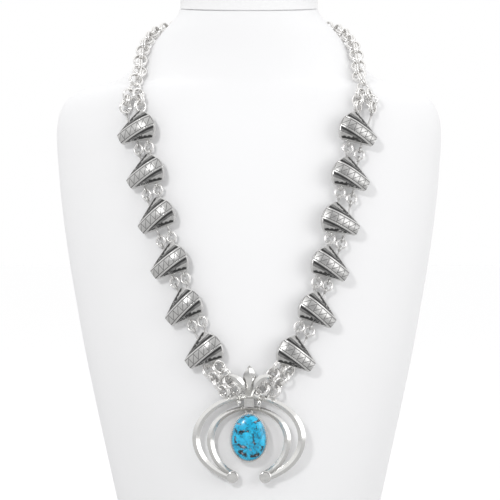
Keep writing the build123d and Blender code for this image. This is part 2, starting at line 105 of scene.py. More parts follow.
# Reach before the middle of the first CAD ring and past the last one, in millimetres, and number of new rings.
NECK_RUN = (-1.1, -1.1, 25)
STRAND_RUNS = {"top_chain": (-1.1, -0.7, 3), "naja_chain": (-0.7, -1.1, 4)}

Colour = tuple[float, float, float]
Stroke = tuple[Vector, Vector, float]
Tree = bpy.types.NodeTree
Socket = bpy.types.NodeSocket
Material = bpy.types.Material
Array = np.ndarray


class Side(Enum):
    """Side of the necklace, as someone who looks at its front sees it."""

    LEFT = "left"
    RIGHT = "right"


class Strand(Enum):
    """Strand of the doubled chain."""

    INNER = "inner"
    OUTER = "outer"


# ---------------------------------------------------------------- node helpers


def feed(node: bpy.types.Node, given: dict[str | int, object]) -> bpy.types.Node:
    """Sets or links a node's inputs.

    Args:
        node: the node.
        given: for each input, by name or index, its value or the output socket that is linked to it.

    Returns:
        The same node.
    """
    for key, value in given.items():
        if isinstance(value, Socket):
            node.id_data.links.new(value, node.inputs[key])
        else:
            node.inputs[key].default_value = value
    return node


def add(tree: Tree, kind: str, given: dict[str | int, object] | None = None, **settings: object) -> bpy.types.Node:
    """Adds a node.

    Args:
        tree: the node tree that it joins.
        kind: the node's type.
        given: its inputs, as for feed.
        settings: its own settings by name.

    Returns:
        The new node.
    """
    node = tree.nodes.new(kind)
    for name, value in settings.items():
        setattr(node, name, value)
    return feed(node, given or {})


def math_node(tree: Tree, operation: str, *values: object, use_clamp: bool = False) -> Socket:
    """Adds a Math node with a number or an output socket for each input, and gives its output."""
    node = add(tree, "ShaderNodeMath", dict(enumerate(values)), operation=operation, use_clamp=use_clamp)
    return node.outputs[0]


def vector_node(tree: Tree, operation: str, *values: object) -> Socket:
    """Adds a Vector Math node with a vector or an output socket for each input, and gives its vector or value."""
    node = add(tree, "ShaderNodeVectorMath", dict(enumerate(values)), operation=operation)
    return node.outputs["Value" if operation in ("DOT_PRODUCT", "DISTANCE") else "Vector"]


def mix_colour(tree: Tree, factor: object, low: object, high: object) -> Socket:
    """Adds a colour Mix node.

    Args:
        tree: the node tree that it joins.
        factor: number or output socket.
        low: colour or output socket where the factor is 0.
        high: colour or output socket where the factor is 1.

    Returns:
        The mixed colour's socket.
    """
    low, high = (value if isinstance(value, Socket) else (*value, 1.0) for value in (low, high))
    return add(tree, "ShaderNodeMix", {0: factor, 6: low, 7: high}, data_type="RGBA").outputs[2]


def ramp(tree: Tree, value: Socket, low: float, high: float) -> Socket:
    """Smooth step of a value from 0 at a low limit to 1 at a high one, or the other way round.

    Args:
        tree: the node tree that it joins.
        value: the socket that is read.
        low: value that gives 0.
        high: value that gives 1.

    Returns:
        The stepped value's socket.
    """
    turned = low > high
    given = {"Value": value, "From Min": min(low, high), "From Max": max(low, high)}
    given.update({"To Min": float(turned), "To Max": float(not turned)})
    return add(tree, "ShaderNodeMapRange", given, interpolation_type="SMOOTHSTEP").outputs[0]


def object_place(tree: Tree) -> Socket:
    """Object coordinates."""
    return add(tree, "ShaderNodeTexCoord").outputs["Object"]


def noise_node(tree: Tree, at: Socket, scale: object, detail: float = 3.0) -> bpy.types.Node:
    """Adds a Noise texture of a scale, in parts of a metre, at coordinates."""
    return add(tree, "ShaderNodeTexNoise", {"Vector": at, "Scale": scale, "Detail": detail})


def bumped(shader: bpy.types.Node, height: Socket, strength: float, distance: float) -> None:
    """Bends a shader's normals by a height.

    Args:
        shader: the Principled shader.
        height: the height's socket.
        strength: strength of the bump.
        distance: height in metres where the socket gives 1.
    """
    given = {"Height": height, "Strength": strength, "Distance": distance}
    feed(shader, {"Normal": add(shader.id_data, "ShaderNodeBump", given).outputs[0]})


class WearGroup:
    """Shader group of the fine handling marks on polished metal: a roughness and a bump height."""

    NAME = "handling_marks"
    BUMP_DISTANCE = 0.0003

    @classmethod
    def build(cls) -> Tree:
        """Builds the group once.

        Returns:
            The group's node tree.
        """
        if cls.NAME in bpy.data.node_groups:
            return bpy.data.node_groups[cls.NAME]
        tree = bpy.data.node_groups.new(cls.NAME, "ShaderNodeTree")
        for name, default in (("Scale", 260.0), ("Smooth", 0.15), ("Rough", 0.3)):
            item = tree.interface.new_socket(name, in_out="INPUT", socket_type="NodeSocketFloat")
            item.default_value = default
        for name in ("Roughness", "Height"):
            tree.interface.new_socket(name, in_out="OUTPUT", socket_type="NodeSocketFloat")
        given = add(tree, "NodeGroupInput").outputs
        height = noise_node(tree, object_place(tree), given["Scale"]).outputs[0]
        spread = math_node(tree, "SUBTRACT", given["Rough"], given["Smooth"])
        rough = math_node(tree, "MULTIPLY_ADD", ramp(tree, height, 0.3, 0.7), spread, given["Smooth"])
        add(tree, "NodeGroupOutput", {"Roughness": rough, "Height": height})
        return tree

    @classmethod
    def wear(cls, shader: bpy.types.Node, scale: float, limits: tuple[float, float], strength: float) -> Socket:
        """Puts the marks on a shader's normals.

        Args:
            shader: the Principled shader.
            scale: scale of the marks, in parts of a metre.
            limits: roughness of the smooth places and of the rough ones.
            strength: strength of their bump.

        Returns:
            Their roughness.
        """
        given = {"Scale": scale, "Smooth": limits[0], "Rough": limits[1]}
        marks = add(shader.id_data, "ShaderNodeGroup", given, node_tree=cls.build())
        bumped(shader, marks.outputs["Height"], strength, cls.BUMP_DISTANCE)
        return marks.outputs["Roughness"]


# ---------------------------------------------------------------- finishes


@dataclass(frozen=True)
class Finish:
    """Base of every finish: a named material with one Principled shader."""

    name: str

    def blank(self) -> tuple[Material, Tree, bpy.types.Node]:
        """New material.

        Returns:
            The material, its node tree and its Principled shader.
        """
        material = bpy.data.materials.new(self.name)
        material.use_nodes = True
        tree = material.node_tree
        tree.nodes.clear()
        shader = add(tree, "ShaderNodeBsdfPrincipled")
        add(tree, "ShaderNodeOutputMaterial", {0: shader.outputs[0]})
        return material, tree, shader


@dataclass(frozen=True)
class MattWhite(Finish):
    """Matt white coating of the bust."""

    colour: Colour = (0.92, 0.92, 0.925)
    roughness: float = 0.72
    shine: float = 0.25
    grain_scale: float = 900.0
    grain_detail: float = 2.0
    grain_strength: float = 0.05
    grain_height: float = 0.0002

    def build(self) -> Material:
        """Builds the material."""
        material, tree, shader = self.blank()
        given = {"Base Color": (*self.colour, 1.0), "Roughness": self.roughness, "Specular IOR Level": self.shine}
        feed(shader, given)
        grain = noise_node(tree, object_place(tree), self.grain_scale, self.grain_detail)
        bumped(shader, grain.outputs[0], self.grain_strength, self.grain_height)
        return material


@dataclass(frozen=True)
class PaleFloor(Finish):
    """Pale floor that looks white and throws back less light than it shows."""

    shown: Colour = (1.0, 1.0, 1.0)
    thrown: Colour = (0.6, 0.6, 0.6)
    roughness: float = 0.9

    def build(self) -> Material:
        """Builds the material."""
        material, tree, shader = self.blank()
        seen = add(tree, "ShaderNodeLightPath").outputs["Is Camera Ray"]
        colour = mix_colour(tree, seen, self.thrown, self.shown)
        feed(shader, {"Base Color": colour, "Roughness": self.roughness, "Specular IOR Level": 0.0})
        return material


@dataclass(frozen=True)
class PolishedSilver(Finish):
    """Bright silver with faint handling marks."""

    colour: Colour = (0.72, 0.715, 0.7)
    smooth: float = 0.12
    rough: float = 0.24
    mark_scale: float = 320.0
    mark_strength: float = 0.12

    def build(self) -> Material:
        """Builds the material."""
        material, _, shader = self.blank()
        roughness = WearGroup.wear(shader, self.mark_scale, (self.smooth, self.rough), self.mark_strength)
        feed(shader, {"Base Color": (*self.colour, 1.0), "Metallic": 1.0, "Roughness": roughness})
        return material


@dataclass(frozen=True)
class StampedSilver(Finish):
    """Silver whose stamped recesses are oxidised, by the stamp attribute of the mesh."""

    bright: Colour = (0.66, 0.655, 0.645)
    oxide: Colour = (0.012, 0.012, 0.012)
    smooth: float = 0.24
    rough: float = 0.38
    oxide_roughness: float = 0.55
    oxide_cover: float = 0.85
    mark_scale: float = 420.0
    mark_strength: float = 0.15

    def build(self) -> Material:
        """Builds the material."""
        material, tree, shader = self.blank()
        dark = add(tree, "ShaderNodeAttribute", attribute_name=STAMP_ATTRIBUTE).outputs["Fac"]
        marks = WearGroup.wear(shader, self.mark_scale, (self.smooth, self.rough), self.mark_strength)
        spread = math_node(tree, "SUBTRACT", self.oxide_roughness, marks)
        given = {
            "Base Color": mix_colour(tree, dark, self.bright, self.oxide),
            "Roughness": math_node(tree, "MULTIPLY_ADD", dark, spread, marks),
            "Metallic": math_node(tree, "MULTIPLY_ADD", dark, -self.oxide_cover, 1.0),
        }
        feed(shader, given)
        return material


@dataclass(frozen=True)
class Turquoise(Finish):
    """Sky blue turquoise with dark matrix webs and grey specks, in object coordinates."""

    light: Colour = (0.045, 0.62, 0.95)
    deep: Colour = (0.01, 0.42, 0.70)
    teal: Colour = (0.008, 0.10, 0.15)
    matrix: Colour = (0.022, 0.02, 0.02)
    speck: Colour = (0.42, 0.40, 0.46)
    warp_scale: float = 330.0
    warp_reach: float = 0.0034
    fray_scale: float = 1100.0
    fray_reach: float = 0.0032
    patch_scale: float = 120.0
    teal_scale: float = 240.0
    crumb_scale: float = 700.0
    vein_scale: float = 190.0
    vein_width: float = 0.05
    roughness: float = 0.22
    coat: float = 0.2
    coat_roughness: float = 0.06

    def web(self, tree: Tree, at: Socket) -> Socket:
        """Mask of a thin web of lines between Voronoi cells, at warped coordinates."""
        given = {"Vector": at, "Scale": self.vein_scale}
        cells = add(tree, "ShaderNodeTexVoronoi", given, feature="DISTANCE_TO_EDGE")
        return ramp(tree, cells.outputs["Distance"], self.vein_width, self.vein_width * 0.25)

    def strokes(self, tree: Tree, at: Socket, places: list[Stroke]) -> Socket:
        """Soft strokes between pairs of points.

        Args:
            tree: the material's node tree.
            at: the warped coordinates.
            places: both ends and the half width of each stroke, in metres.

        Returns:
            The strokes' mask.
        """
        total: object = 0.0
        for start, end, half in places:
            run = end - start
            offset = vector_node(tree, "SUBTRACT", at, start)
            along = vector_node(tree, "DOT_PRODUCT", offset, run)
            share = math_node(tree, "MULTIPLY", along, 1 / run.length_squared, use_clamp=True)
            nearest = add(tree, "ShaderNodeVectorMath", {0: run, "Scale": share}, operation="SCALE")
            away = vector_node(tree, "DISTANCE", offset, nearest.outputs[0])
            total = math_node(tree, "MAXIMUM", ramp(tree, away, half * 1.3, half * 0.7), total)
        return total

    def warped(self, tree: Tree) -> Socket:
        """Object coordinates, warped by a coarse and a fine noise."""
        place = object_place(tree)
        warp = noise_node(tree, place, self.warp_scale).outputs["Color"]
        shifted = vector_node(tree, "SUBTRACT", place, (self.warp_reach / 2,) * 3)
        centred = vector_node(tree, "MULTIPLY_ADD", warp, (self.warp_reach,) * 3, shifted)
        ragged = noise_node(tree, place, self.fray_scale, 2.0).outputs["Color"]
        spread = vector_node(tree, "SUBTRACT", ragged, (0.5, 0.5, 0.5))
        return vector_node(tree, "MULTIPLY_ADD", spread, (self.fray_reach,) * 3, centred)

    def build(self, blots: list[Stroke], specks: list[Stroke]) -> Material:
        """Builds the material.

        Args:
            blots: ends and half width of each dark stroke of matrix.
            specks: ends and half width of each pale speck.

        Returns:
            The material.
        """
        material, tree, shader = self.blank()
        at = self.warped(tree)
        patches, greens, crumbs = (
            noise_node(tree, at, scale).outputs[0] for scale in (self.patch_scale, self.teal_scale, self.crumb_scale)
        )
        blot = self.strokes(tree, at, blots)
        colour = mix_colour(tree, ramp(tree, patches, 0.4, 0.6), self.deep, self.light)
        teal = math_node(tree, "MULTIPLY", ramp(tree, greens, 0.57, 0.72), 0.75)
        colour = mix_colour(tree, teal, colour, self.teal)
        colour = mix_colour(tree, math_node(tree, "MULTIPLY", blot, 0.8), colour, self.teal)
        veins = math_node(tree, "MULTIPLY", self.web(tree, at), ramp(tree, patches, 0.55, 0.45))
        veins = math_node(tree, "MULTIPLY", veins, 0.75)
        dark = math_node(tree, "MULTIPLY", blot, ramp(tree, crumbs, 0.36, 0.44))
        colour = mix_colour(tree, math_node(tree, "MAXIMUM", dark, veins), colour, self.matrix)
        colour = mix_colour(tree, self.strokes(tree, at, specks), colour, self.speck)
        given = {"Base Color": colour, "Roughness": self.roughness}
        feed(shader, {**given, "Coat Weight": self.coat, "Coat Roughness": self.coat_roughness})
        return material


# ---------------------------------------------------------------- mesh helpers


@dataclass(frozen=True)
class CadMesh:
    """Triangles of a CAD node, as arrays in metres."""

    points: Array
    faces: Array

    @classmethod
    def of(cls, node: bpy.types.Object) -> "CadMesh":
        """Reads a CAD node, whose object sits at the origin."""
        mesh = node.data
        mesh.calc_loop_triangles()
        points = np.empty(len(mesh.vertices) * 3)
        mesh.vertices.foreach_get("co", points)
        faces = np.empty(len(mesh.loop_triangles) * 3, dtype=np.int32)
        mesh.loop_triangles.foreach_get("vertices", faces)
        return cls(points.reshape(-1, 3), faces.reshape(-1, 3))

    def facings(self) -> tuple[Array, Array]:
        """Unit normals and areas of the triangles."""
        a, b, c = (self.points[self.faces[:, k]] for k in range(3))
        cross = np.cross(b - a, c - a)
        length = np.linalg.norm(cross, axis=1)
        return cross / np.maximum(length, 1e-15)[:, None], length / 2

    def flat_back(self) -> tuple[Array, Array]:
        """The largest flat side that looks backwards.

        Returns:
            Its outward direction, and the indices of its triangles.
        """
        normals, areas = self.facings()
        middles = self.points[self.faces].mean(axis=1) - self.points.mean(axis=0)
        offsets = (middles * normals).sum(axis=1)
        weights = areas * (normals[:, 1] > 0.2)
        keys = np.column_stack((np.round(normals, 2), np.round(offsets / MM, 1)))
        _, inverse = np.unique(keys, axis=0, return_inverse=True)
        sums = np.bincount(inverse.ravel(), weights=weights)
        group = inverse.ravel() == np.argmax(sums)
        normal = (normals[group] * weights[group, None]).sum(axis=0)
        normal /= np.linalg.norm(normal)
        depth = float(np.average(offsets[group], weights=weights[group]))
        near = (normals @ normal > SAME_FACING) & (np.abs(middles @ normal - depth) < SAME_PLANE * MM)
        return normal, np.flatnonzero(near)


def placement(x_dir: Vector, y_dir: Vector, z_dir: Vector, origin: Vector) -> Matrix:
    """Placement of a plane from its directions and its origin."""
    columns = (x_dir, y_dir, z_dir, origin)
    return Matrix([[column[row] for column in columns] for row in range(3)] + [[0, 0, 0, 1]])


def shown(name: str, mesh: bpy.types.Mesh) -> bpy.types.Object:
    """New object of a mesh, linked to the scene."""
    piece = bpy.data.objects.new(name, mesh)
    bpy.context.collection.objects.link(piece)
    return piece


def converted(
    name: str, mesh: bpy.types.Mesh, tree: bpy.types.GeometryNodeTree, values: dict[str, float]
) -> bpy.types.Object:
    """Runs Geometry Nodes on a mesh and keeps the result as a plain mesh.

    Args:
        name: name of the new piece.
        mesh: the mesh that the nodes read.
        tree: the node tree.
        values: values for the tree's inputs by name.

    Returns:
        The new piece.
    """
    carrier = shown(mesh.name, mesh)
    modifier = carrier.modifiers.new("repeat", "NODES")
    modifier.node_group = tree
    for item in tree.interface.items_tree:
        if item.name in values:
            modifier[item.identifier] = values[item.name]
    result = bpy.data.meshes.new_from_object(carrier.evaluated_get(bpy.context.evaluated_depsgraph_get()))
    carrier.modifiers.remove(modifier)
    bpy.data.objects.remove(carrier)
    result.name = name
    return shown(name, result)


def finished(tree: bpy.types.GeometryNodeTree, instances: Socket, silver: Material) -> None:
    """Ends a tree: its instances are made real, get their material and go out."""
    real = add(tree, "GeometryNodeRealizeInstances", {0: instances})
    dressed = add(tree, "GeometryNodeSetMaterial", {"Geometry": real.outputs[0], "Material": silver})
    add(tree, "NodeGroupOutput", {0: dressed.outputs[0]})


def placed_mesh(
    name: str, points: Array, faces: list[tuple[int, ...]] | Array, materials: list[Material]
) -> bpy.types.Object:
    """Makes a mesh object at the origin.

    Args:
        name: the piece's name.
        points: its vertices, in metres.
        faces: its faces, as vertex indices.
        materials: its materials, in order.

    Returns:
        The new object, linked to the scene.
    """
    mesh = bpy.data.meshes.new(name)
    mesh.from_pydata(points.tolist(), [], [tuple(int(i) for i in face) for face in faces])
    for material in materials:
        mesh.materials.append(material)
    return shown(name, mesh)


def value_noise(x: Array, y: Array, cell: float, seed: int) -> Array:
    """Smooth random field.

    Args:
        x: places along, in millimetres.
        y: places across, in millimetres.
        cell: size of the field's cells, in millimetres.
        seed: fixed seed.

    Returns:
        Values from 0 to 1 at the places.
    """
    lattice = np.random.default_rng(seed).random((LATTICE, LATTICE))
    u, v = x / cell + LATTICE // 2, y / cell + LATTICE // 2
    i, j = np.floor(u).astype(int), np.floor(v).astype(int)
    s, t = u - i, v - j
    s, t = s * s * (3 - 2 * s), t * t * (3 - 2 * t)
    at = lambda a, b: lattice[np.mod(a, LATTICE), np.mod(b, LATTICE)]
    low = at(i, j) * (1 - s) + at(i + 1, j) * s
    high = at(i, j + 1) * (1 - s) + at(i + 1, j + 1) * s
    return low * (1 - t) + high * t


def even_points(line: Array, count: int) -> Array:
    """Evenly spaced points along a line of points.

    Args:
        line: the line's points.
        count: number of points that are wanted.

    Returns:
        The new points.
    """
    lengths = np.concatenate(([0], np.cumsum(np.linalg.norm(np.diff(line, axis=0), axis=1))))
    even = np.linspace(0, lengths[-1], count)
    return np.column_stack([np.interp(even, lengths, column) for column in line.T])


def step(value: Array, low: float, high: float) -> Array:
    """Smooth step from 0 at the low limit to 1 at the high one, which may be the smaller."""
    t = np.clip((value - low) / (high - low), 0, 1)
    return t * t * (3 - 2 * t)


def line(distance: Array, width: float) -> Array:
    """Mask of a line of a width round zero distance."""
    return step(np.abs(distance), width * 0.5 + LINE_SOFTNESS, width * 0.5 - LINE_SOFTNESS)


# ---------------------------------------------------------------- blossoms


@dataclass(frozen=True)
class BlossomShape:
    """Outline and dome of a blossom in its own plane, in millimetres: x runs to the wide end."""

    narrow_x: float = -12.2
    narrow_half: float = 3.2
    end_half: float = 3.95
    end_corner: float = 1.3
    side_x: float = 7.5
    side_half: float = 10.5
    bow_radius: float = 12.9
    corner: float = 2.4
    rim: float = 1.0
    places: tuple[float, ...] = (-12.6, -7.0, -1.0, 5.0, 9.0, 13.4)
    halves: tuple[float, ...] = (3.5, 5.7, 8.1, 10.2, 11.2, 11.6)
    heights: tuple[float, ...] = (2.6, 4.6, 5.8, 6.1, 5.3, 3.2)

    def side_normal(self) -> tuple[Array, float]:
        """Outward direction of the upper straight side, and its distance from the middle."""
        along = np.array([self.side_x - self.narrow_x, self.side_half - self.narrow_half])
        along /= np.linalg.norm(along)
        normal = np.array([-along[1], along[0]])
        return normal, float(normal @ np.array([self.narrow_x, self.narrow_half]))

    def side_distance(self, x: Array, y: Array) -> Array:
        """Distance inwards from the outline's straight sides."""
        normal, reach = self.side_normal()
        return reach - normal[0] * x - normal[1] * np.abs(y)

    def edge_distance(self, x: Array, y: Array) -> Array:
        """Distance inwards from the outline's sides and bow."""
        return np.minimum(self.side_distance(x, y), self.bow_radius - np.hypot(x, y))

    def bow(self, count: int) -> Array:
        """Evenly spaced points along the wide end, with its rounded corners.

        Args:
            count: number of points.

        Returns:
            Points from the lower side to the upper one.
        """
        normal, reach = self.side_normal()
        along = np.array([normal[1], -normal[0]])
        inner = self.bow_radius - self.corner
        offset = reach - self.corner
        middle = normal * offset + along * math.sqrt(inner ** 2 - offset ** 2)
        start = math.atan2(normal[1], normal[0])
        end = math.atan2(middle[1], middle[0])
        turn = np.linspace(start, end, 24)
        corner = middle + self.corner * np.column_stack((np.cos(turn), np.sin(turn)))
        sweep = np.linspace(end, 0, 60)[1:]
        arc = self.bow_radius * np.column_stack((np.cos(sweep), np.sin(sweep)))
        upper = np.vstack((corner, arc))
        return even_points(np.vstack((upper[:-1] * (1, -1), upper[::-1])), count)

    def narrow_end(self, count: int) -> Array:
        """Evenly spaced points along the blunt narrow end, with its rounded corners.

        Args:
            count: number of points.

        Returns:
            Points from the lower side to the upper one.
        """
        turn = np.linspace(math.pi / 2, math.pi, 16)
        middle = np.array([self.narrow_x + self.end_corner, self.end_half - self.end_corner])
        corner = middle + self.end_corner * np.column_stack((np.cos(turn), np.sin(turn)))
        whole = np.vstack((corner * (1, -1), corner[::-1]))
        return even_points(whole, count)

    def curve(self, values: tuple[float, ...], x: Array) -> Array:
        """Smooth line through one of the section sizes."""
        places = np.array(self.places)
        sizes = np.array(values)
        slopes = np.gradient(sizes, places)
        index = np.clip(np.searchsorted(places, x) - 1, 0, len(places) - 2)
        span = places[index + 1] - places[index]
        t = (x - places[index]) / span
        return (
            sizes[index] * (1 + 2 * t) * (1 - t) ** 2
            + span * slopes[index] * t * (1 - t) ** 2
            + sizes[index + 1] * t * t * (3 - 2 * t)
            + span * slopes[index + 1] * t * t * (t - 1)
        )

    def dome(self, x: Array, y: Array) -> Array:
        """Height of the plain dome."""
        half = self.curve(self.halves, x)
        crown = self.curve(self.heights, x) - self.rim
        radius = (half ** 2 + crown ** 2) / (2 * crown)
        return np.sqrt(np.maximum(radius ** 2 - y ** 2, 0)) - radius + crown + self.rim


@dataclass(frozen=True)
class BlossomStamp:
    """Stamped pattern of a blossom: a zigzag band with borders, dark strips, leaves, scallops and stipple."""

    shape: BlossomShape
    zigzag_period: float = 4.3
    zigzag_reach: float = 2.3
    zigzag_width: float = 0.36
    zigzag_steep: float = 0.12
    zigzag_dark: float = 0.85
    zigzag_depth: float = 0.05
    groove_place: float = 2.72
    groove_width: float = 0.42
    groove_dark: float = 0.9
    groove_depth: float = 0.08
    border_low: float = 2.95
    border_high: float = 3.85
    border_rise: float = 0.16
    band_rise: float = 0.06
    band_dark: float = 0.16
    worm_cell: float = 0.85
    worm_fine_cell: float = 0.4
    worm_rise: float = 0.06
    deepest_dark: float = 0.97
    strip_width: float = 2.5
    strip_least: float = 0.35
    strip_taper: float = 0.9
    strip_depth: float = 0.06
    hatch_pitch: float = 0.8
    leaf_start: float = 0.56
    leaf_rise: float = 0.1
    scallop_low: float = 0.55
    scallop_high: float = 2.1
    scallop_pitch: float = 2.7
    scallop_bite: float = 0.55
    scallop_depth: float = 0.1
    rim_width: float = 0.3
    bow_rim_width: float = 0.65
    rim_dark: float = 0.03
    rim_rise: float = 0.05

    def band(self, x: Array, y: Array) -> tuple[Array, Array, Array]:
        """Zigzag band with its dark inner lines and raised borders.

        Args:
            x: places along, in millimetres.
            y: places across, in millimetres.

        Returns:
            Where the band is, how dark it is, and how far it stands up.
        """
        off = np.abs(y)
        phase = x / self.zigzag_period
        climb = (y / self.zigzag_reach + 1) / 2
        slanted = phase - (1 - self.zigzag_steep) * climb
        steep = phase - 1 + self.zigzag_steep * climb
        run = (1 - self.zigzag_steep) * self.zigzag_period
        lean = 2 * self.zigzag_reach / math.hypot(2 * self.zigzag_reach, run)
        slanted = (slanted - np.floor(slanted + 0.5)) * self.zigzag_period * lean
        steep = (steep - np.floor(steep + 0.5)) * self.zigzag_period
        zigzag = np.maximum(line(slanted, self.zigzag_width), line(steep, self.zigzag_width))
        zigzag *= step(off, self.groove_place - 0.25, self.groove_place - 0.5)
        groove = line(off - self.groove_place, self.groove_width)
        border = step(off, self.border_low - 0.1, self.border_low + 0.1)
        border *= step(off, self.border_high + 0.1, self.border_high - 0.1)
        within = step(off, self.border_high + 0.12, self.border_high)
        dark = np.maximum(self.band_dark, np.maximum(self.zigzag_dark * zigzag, self.groove_dark * groove))
        dark = dark * (1 - 0.9 * border)
        raised = self.border_rise * border + self.band_rise * within
        raised = raised - self.zigzag_depth * zigzag - self.groove_depth * groove
        return within, dark, raised

    def flank(self, x: Array, y: Array, seed: int) -> tuple[Array, Array]:
        """Flanks beside the band: dark stipple with bright curls, hatched strip, leaf, scallops and bright rim.

        Args:
            x: places along, in millimetres.
            y: places across, in millimetres.
            seed: fixed seed of the stipple.

        Returns:
            How dark the flanks are, and how far they stand up.
        """
        share = (x - self.shape.narrow_x) / (self.shape.bow_radius - self.shape.narrow_x)
        edge = self.shape.edge_distance(x, y)
        from_band = np.abs(y) - self.border_high
        fine = value_noise(x, y, self.worm_fine_cell, seed + 1)
        worms = np.abs(value_noise(x, y, self.worm_cell, seed) + 0.3 * fine - 0.65)
        bright_worm = step(worms, 0.11, 0.04)
        dark = self.deepest_dark - 0.72 * bright_worm
        raised = self.worm_rise * bright_worm

        strip_reach = self.strip_width * np.clip((share - 0.15) / 0.7, 0, 1) ** self.strip_taper
        strip_reach += self.strip_least
        strip = step(from_band, strip_reach + 0.1, strip_reach - 0.1)
        hatch = step(np.sin(2 * np.pi * (x / self.hatch_pitch + from_band / 1.4)), 0.1, 0.6)
        hatch *= step(from_band, strip_reach * 0.45, strip_reach * 0.6)
        dark = dark * (1 - strip) + strip * (0.98 - 0.6 * hatch)
        raised -= self.strip_depth * strip

        outer = step(from_band, strip_reach, strip_reach + 0.2)
        jag = 0.05 * value_noise(x, y, 0.7, seed + 4)
        leaf = outer * step(share, self.leaf_start - 0.02 + jag, self.leaf_start + 0.02 + jag)
        sheen = 0.16 + 0.2 * value_noise(x * 0.5, y * 1.6, 0.5, seed + 3)
        dark = dark * (1 - leaf) + sheen * leaf
        raised += self.leaf_rise * leaf

        scallop = self.scallop_bite * np.abs(np.sin(np.pi * x / self.scallop_pitch))
        side = self.shape.side_distance(x, y)
        row = step(side, self.scallop_low - 0.1, self.scallop_low + 0.1) * step(share, 0.46, 0.5)
        row *= step(side, self.scallop_high - 0.45 + scallop, self.scallop_high - 0.65 + scallop)
        row *= step(share, 0.9, 0.87)
        dark = dark * (1 - row) + row * self.deepest_dark
        raised -= self.scallop_depth * row

        rim = step(edge, self.scallop_low, self.scallop_low - 0.2) * step(share, 0.4, 0.6)
        rim = np.maximum(rim, step(edge, self.rim_width, self.rim_width / 2))
        from_bow = self.shape.bow_radius - np.hypot(x, y)
        rim = np.maximum(rim, step(from_bow, self.bow_rim_width, self.bow_rim_width - 0.2))
        return dark * (1 - rim) + self.rim_dark * rim, raised * (1 - rim) + self.rim_rise * rim

    def pattern(self, x: Array, y: Array, seed: int) -> tuple[Array, Array]:
        """Works out the pattern at places on the blossom.

        Args:
            x: places along, in millimetres.
            y: places across, in millimetres.
            seed: fixed seed of the stipple.

        Returns:
            How dark the oxide is, from 0 to 1, and how far the surface stands up, in millimetres.
        """
        within, band_dark, band_raised = self.band(x, y)
        flank_dark, flank_raised = self.flank(x, y, seed)
        dark = band_dark * within + flank_dark * (1 - within)
        raised = band_raised + flank_raised * (1 - within)
        return np.clip(dark, 0, 1), raised * step(self.shape.edge_distance(x, y), 0.0, 0.25)


